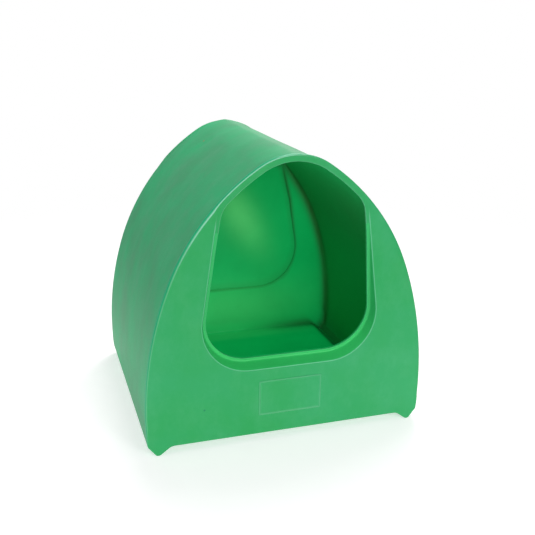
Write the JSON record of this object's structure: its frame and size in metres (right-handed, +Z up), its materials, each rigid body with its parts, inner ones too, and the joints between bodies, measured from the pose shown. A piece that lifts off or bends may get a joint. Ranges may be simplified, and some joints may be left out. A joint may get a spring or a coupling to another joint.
{
  "type": "poultry nest box",
  "caption": "Moulded plastic nest box: a pointed-arch shell on two runners, closed behind, with a stepped doorway over a bedding sill.",
  "frame": {"origin": "on the ground, under the middle of the box's width and depth", "axes": "+Z up, -Y out of the doorway, +X to the right as the doorway is faced"},
  "size_m": [0.4282, 0.3728, 0.4242],
  "materials": {
    "moulded_outer": "dull green polyethylene, finely scuffed along the mould",
    "moulded_face": "satin green polyethylene",
    "moulded_step": "satin green polyethylene, with a pale trimmed edge",
    "moulded_inner": "smooth saturated green polyethylene, as it left the mould"
  },
  "bodies": {
    "root": {"ridge": "moulded_outer", "left_roof": "moulded_outer", "right_roof": "moulded_outer", "left_wall": "moulded_outer", "right_wall": "moulded_outer", "left_runner": "moulded_outer", "right_runner": "moulded_outer", "floor": "moulded_inner", "front_sill": "moulded_face", "left_post": "moulded_face", "right_post": "moulded_face", "door_head": "moulded_face", "sill_ledge": "moulded_step", "left_jamb": "moulded_step", "right_jamb": "moulded_step", "blank_plate": "moulded_face", "rear_panel": "moulded_outer", "rear_step": "moulded_inner", "rear_blank": "moulded_inner"}
  },
  "joints": []
}
